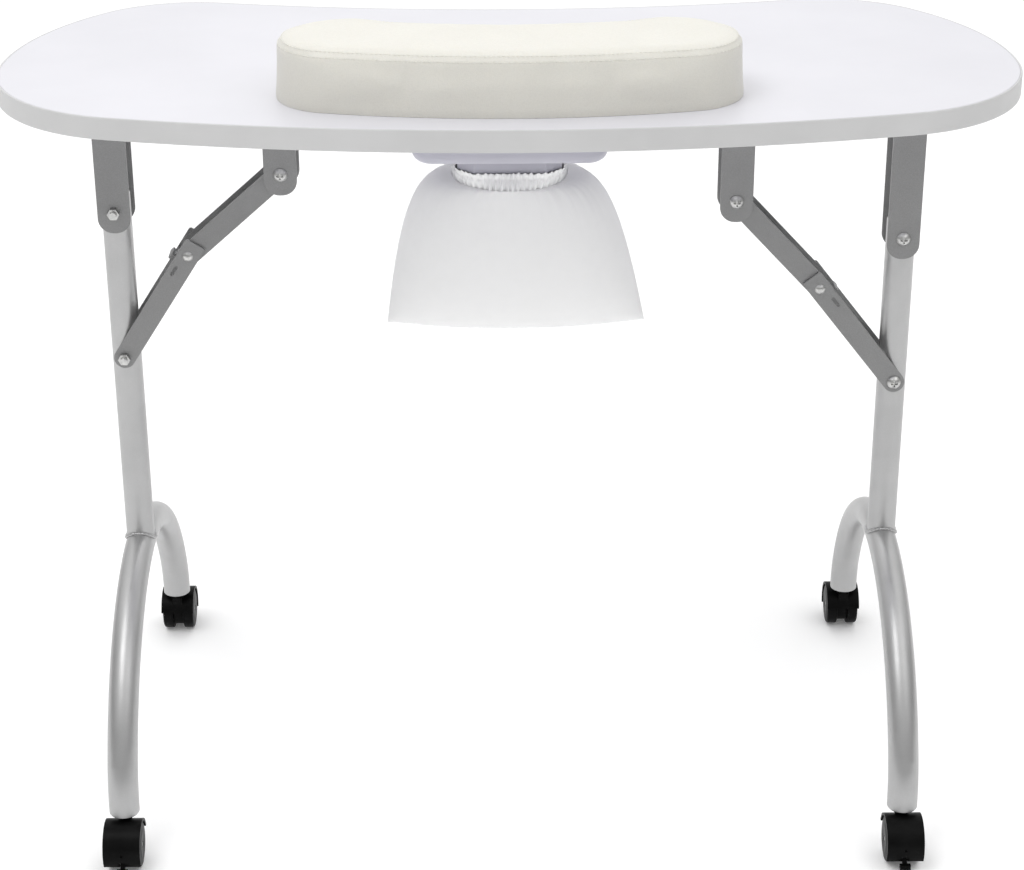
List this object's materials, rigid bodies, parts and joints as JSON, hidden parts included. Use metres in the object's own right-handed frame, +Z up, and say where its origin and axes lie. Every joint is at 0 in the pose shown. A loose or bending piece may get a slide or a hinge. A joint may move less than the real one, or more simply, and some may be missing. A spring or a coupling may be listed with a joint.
{
  "type": "manicure table",
  "caption": "Folding manicure table with a kidney-shaped top, loose wrist cushion, dust fan with cloth bag, folding braced legs, arched feet and braked casters.",
  "frame": {"origin": "on the floor, midway between the two legs and the four casters", "axes": "+Z up, +X along the table's length to the right of the sitting client, +Y to the technician"},
  "size_m": [0.92, 0.501, 0.7552],
  "materials": {
    "white_laminate": "satin laminate",
    "edge_strip": "satin",
    "grey_steel": "satin",
    "silver_tube": "satin",
    "zinc": "bright zinc",
    "white_plastic": "satin",
    "black_plastic": "semi-gloss",
    "ivory_leather": "soft matt",
    "bag_cloth": "matt",
    "elastic": "matt",
    "base_board": "thin dark lining cloth glued over a board",
    "motor_steel": "satin"
  },
  "bodies": {
    "table_top": {"tabletop_board": "white_laminate", "edge_band": "edge_strip", "vent_grille": "white_plastic", "fan_housing": "white_plastic", "fan_outlet_collar": "white_plastic", "fan_motor": "motor_steel", "motor_bracket": "grey_steel", "fan_screws": "zinc", "power_inlet": "black_plastic", "switch_bezel": "black_plastic", "leg_bracket_left": "grey_steel", "leg_bracket_right": "grey_steel", "brace_bracket_left": "grey_steel", "brace_bracket_right": "grey_steel", "bracket_screws": "zinc", "bracket_pivot_bolts": "zinc", "bracket_pivot_nuts": "zinc"},
    "fan_rotor": {"fan_rotor": "black_plastic", "fan_shaft": "motor_steel"},
    "switch_rocker": {"switch_rocker": "black_plastic"},
    "wrist_cushion": {"cushion_pad": "ivory_leather", "cushion_base": "base_board"},
    "dust_bag": {"dust_bag": "bag_cloth", "bag_elastic": "elastic"},
    "left_leg": {"leg_post_left": "silver_tube", "leg_arch_left": "silver_tube", "brace_bolt_left": "zinc", "caster_sockets_left": "black_plastic", "caster_stems_left": "zinc"},
    "left_upper_brace": {"upper_link_left": "grey_steel", "lock_spring_left": "zinc"},
    "left_lower_brace": {"lower_link_left": "grey_steel", "elbow_rivets_left": "zinc"},
    "left_brace_lock": {"lock_lever_left": "grey_steel"},
    "left_front_caster": {"caster_hood_left_front": "black_plastic"},
    "left_front_wheels": {"caster_wheels_left_front": "black_plastic", "caster_axle_left_front": "zinc"},
    "left_front_brake": {"brake_lever_left_front": "black_plastic"},
    "left_rear_caster": {"caster_hood_left_rear": "black_plastic"},
    "left_rear_wheels": {"caster_wheels_left_rear": "black_plastic", "caster_axle_left_rear": "zinc"},
    "left_rear_brake": {"brake_lever_left_rear": "black_plastic"},
    "right_leg": {"leg_post_right": "silver_tube", "leg_arch_right": "silver_tube", "brace_bolt_right": "zinc", "caster_sockets_right": "black_plastic", "caster_stems_right": "zinc"},
    "right_upper_brace": {"upper_link_right": "grey_steel", "lock_spring_right": "zinc"},
    "right_lower_brace": {"lower_link_right": "grey_steel", "elbow_rivets_right": "zinc"},
    "right_brace_lock": {"lock_lever_right": "grey_steel"},
    "right_front_caster": {"caster_hood_right_front": "black_plastic"},
    "right_front_wheels": {"caster_wheels_right_front": "black_plastic", "caster_axle_right_front": "zinc"},
    "right_front_brake": {"brake_lever_right_front": "black_plastic"},
    "right_rear_caster": {"caster_hood_right_rear": "black_plastic"},
    "right_rear_wheels": {"caster_wheels_right_rear": "black_plastic", "caster_axle_right_rear": "zinc"},
    "right_rear_brake": {"brake_lever_right_rear": "black_plastic"}
  },
  "joints": [
    {"name": "fan_spin", "type": "hinge", "parent": "table_top", "child": "fan_rotor", "pos_m": [0, 0.034, 0.6645], "axis": [0, 0, 1], "continuous": true},
    {"name": "switch_rock", "type": "hinge", "parent": "table_top", "child": "switch_rocker", "pos_m": [0.045, 0.105, 0.65], "axis": [0, 0, 1], "range_deg": [0, 16]},
    {"name": "cushion_lift", "type": "slide", "parent": "table_top", "child": "wrist_cushion", "axis": [0, 0, 1], "range_m": [0, 0.15]},
    {"name": "bag_pull_off", "type": "slide", "parent": "table_top", "child": "dust_bag", "axis": [0, 0, -1], "range_m": [0, 0.15]},
    {"name": "left_leg_fold", "type": "hinge", "parent": "table_top", "child": "left_leg", "pos_m": [-0.362, 0, 0.569], "axis": [0, -1, 0], "range_deg": [0, 90], "deforming": ["dust_bag", "bag_elastic"]},
    {"name": "left_upper_brace_fold", "type": "hinge", "parent": "table_top", "child": "left_upper_brace", "pos_m": [-0.2085, 0, 0.6047], "axis": [0, -1, 0], "range_deg": [-49.97, 0]},
    {"name": "left_lower_brace_fold", "type": "hinge", "parent": "left_leg", "child": "left_lower_brace", "pos_m": [-0.362, 0, 0.4244], "axis": [0, -1, 0], "range_deg": [0, 6.76]},
    {"name": "left_brace_lock_tip", "type": "hinge", "parent": "left_upper_brace", "child": "left_brace_lock", "pos_m": [-0.28014, 0, 0.5408], "axis": [0, -1, 0], "range_deg": [0, 15], "stiffness_Nm_per_rad": 0.05},
    {"name": "left_front_swivel", "type": "hinge", "parent": "left_leg", "child": "left_front_caster", "pos_m": [-0.362, -0.21, 0.046], "axis": [0, 0, 1], "continuous": true},
    {"name": "left_front_roll", "type": "hinge", "parent": "left_front_caster", "child": "left_front_wheels", "pos_m": [-0.362, -0.223, 0.021], "axis": [1, 0, 0], "continuous": true},
    {"name": "left_front_brake_press", "type": "hinge", "parent": "left_front_caster", "child": "left_front_brake", "pos_m": [-0.362, -0.236, 0.021], "axis": [1, 0, 0], "range_deg": [0, 12]},
    {"name": "left_rear_swivel", "type": "hinge", "parent": "left_leg", "child": "left_rear_caster", "pos_m": [-0.362, 0.21, 0.046], "axis": [0, 0, 1], "continuous": true},
    {"name": "left_rear_roll", "type": "hinge", "parent": "left_rear_caster", "child": "left_rear_wheels", "pos_m": [-0.362, 0.223, 0.021], "axis": [1, 0, 0], "continuous": true},
    {"name": "left_rear_brake_press", "type": "hinge", "parent": "left_rear_caster", "child": "left_rear_brake", "pos_m": [-0.362, 0.236, 0.021], "axis": [-1, 0, 0], "range_deg": [0, 12]},
    {"name": "right_leg_fold", "type": "hinge", "parent": "table_top", "child": "right_leg", "pos_m": [0.362, 0, 0.539], "axis": [0, 1, 0], "range_deg": [0, 90]},
    {"name": "right_upper_brace_fold", "type": "hinge", "parent": "table_top", "child": "right_upper_brace", "pos_m": [0.2072, 0, 0.5762], "axis": [0, 1, 0], "range_deg": [-56.08, 0]},
    {"name": "right_lower_brace_fold", "type": "hinge", "parent": "right_leg", "child": "right_lower_brace", "pos_m": [0.362, 0, 0.3944], "axis": [0, 1, 0], "range_deg": [0, 10.42]},
    {"name": "right_brace_lock_tip", "type": "hinge", "parent": "right_upper_brace", "child": "right_brace_lock", "pos_m": [0.27256, 0, 0.50589], "axis": [0, 1, 0], "range_deg": [0, 15], "stiffness_Nm_per_rad": 0.05},
    {"name": "right_front_swivel", "type": "hinge", "parent": "right_leg", "child": "right_front_caster", "pos_m": [0.362, -0.21, 0.046], "axis": [0, 0, 1], "continuous": true},
    {"name": "right_front_roll", "type": "hinge", "parent": "right_front_caster", "child": "right_front_wheels", "pos_m": [0.362, -0.223, 0.021], "axis": [1, 0, 0], "continuous": true},
    {"name": "right_front_brake_press", "type": "hinge", "parent": "right_front_caster", "child": "right_front_brake", "pos_m": [0.362, -0.236, 0.021], "axis": [1, 0, 0], "range_deg": [0, 12]},
    {"name": "right_rear_swivel", "type": "hinge", "parent": "right_leg", "child": "right_rear_caster", "pos_m": [0.362, 0.21, 0.046], "axis": [0, 0, 1], "continuous": true},
    {"name": "right_rear_roll", "type": "hinge", "parent": "right_rear_caster", "child": "right_rear_wheels", "pos_m": [0.362, 0.223, 0.021], "axis": [1, 0, 0], "continuous": true},
    {"name": "right_rear_brake_press", "type": "hinge", "parent": "right_rear_caster", "child": "right_rear_brake", "pos_m": [0.362, 0.236, 0.021], "axis": [-1, 0, 0], "range_deg": [0, 12]}
  ],
  "couplings": [
    {"joint": "left_upper_brace_fold", "follows": "left_leg_fold", "ratio": -0.55516},
    {"joint": "left_lower_brace_fold", "follows": "left_leg_fold", "ratio": 0.075114},
    {"joint": "right_upper_brace_fold", "follows": "right_leg_fold", "ratio": -0.6231},
    {"joint": "right_lower_brace_fold", "follows": "right_leg_fold", "ratio": 0.11572}
  ]
}
